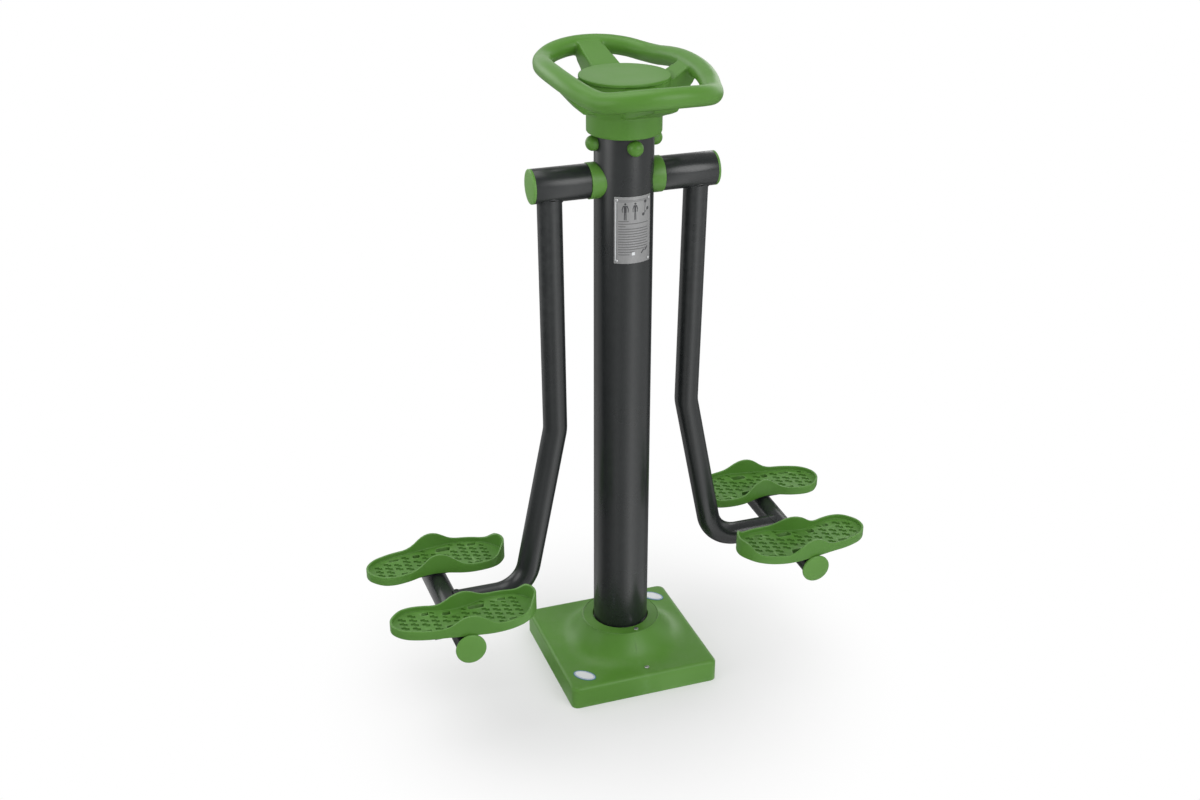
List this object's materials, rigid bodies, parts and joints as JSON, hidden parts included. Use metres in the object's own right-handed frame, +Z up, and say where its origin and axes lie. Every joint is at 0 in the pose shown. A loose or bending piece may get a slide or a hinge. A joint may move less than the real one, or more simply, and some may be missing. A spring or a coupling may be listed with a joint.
{
  "type": "pendulum walker",
  "caption": "Park exercise station: two arms with foot plates swing from one axle on a post, below a fixed handwheel, on a square covered base.",
  "frame": {"origin": "on the ground, at the post's axis", "axes": "+X along the axle to the right in the picture, +Y away from the side with the info plate, +Z up"},
  "size_m": [1.054, 0.4788, 1.3027],
  "materials": {
    "coated_steel": "powder coated, satin, fine texture",
    "green_plastic": "moulded, satin",
    "bare_steel": "zinc plated",
    "grey_plate": "printed sheet, left blank",
    "grey_badge": "sticker, left blank"
  },
  "bodies": {
    "stand": {"post": "coated_steel", "base_flange": "coated_steel", "flange_gussets": "coated_steel", "axle_boss": "coated_steel", "axle": "bare_steel", "base_cover_left": "green_plastic", "base_cover_right": "green_plastic", "cover_screws": "bare_steel", "blank_badges": "grey_badge", "info_plate": "grey_plate", "info_plate_rivets": "bare_steel", "left_spacer_ring": "green_plastic", "right_spacer_ring": "green_plastic", "distance_rings": "bare_steel", "bearing_inners": "bare_steel", "bearing_balls": "bare_steel", "axle_washers": "bare_steel", "axle_nuts": "bare_steel", "handwheel_insert": "bare_steel", "handwheel_screws": "bare_steel", "handwheel": "green_plastic", "hub_cap": "green_plastic", "handwheel_bolts": "bare_steel", "bolt_caps": "green_plastic"},
    "left_arm": {"left_sleeve": "coated_steel", "left_bearing_outers": "bare_steel", "left_sleeve_cap": "green_plastic", "left_arm_tube": "coated_steel", "left_crossbar": "coated_steel", "left_crossbar_caps": "green_plastic", "left_plate_brackets": "coated_steel", "left_front_plate": "green_plastic", "left_rear_plate": "green_plastic", "left_plate_bolts": "bare_steel"},
    "right_arm": {"right_sleeve": "coated_steel", "right_bearing_outers": "bare_steel", "right_sleeve_cap": "green_plastic", "right_arm_tube": "coated_steel", "right_crossbar": "coated_steel", "right_crossbar_caps": "green_plastic", "right_plate_brackets": "coated_steel", "right_front_plate": "green_plastic", "right_rear_plate": "green_plastic", "right_plate_bolts": "bare_steel"}
  },
  "joints": [
    {"name": "left_arm_swing", "type": "hinge", "parent": "stand", "child": "left_arm", "pos_m": [-0.1485, 0, 1.079], "axis": [1, 0, 0], "range_deg": [-32.7, 37.3]},
    {"name": "right_arm_swing", "type": "hinge", "parent": "stand", "child": "right_arm", "pos_m": [0.1485, 0, 1.079], "axis": [1, 0, 0], "range_deg": [-37.3, 32.7]}
  ]
}
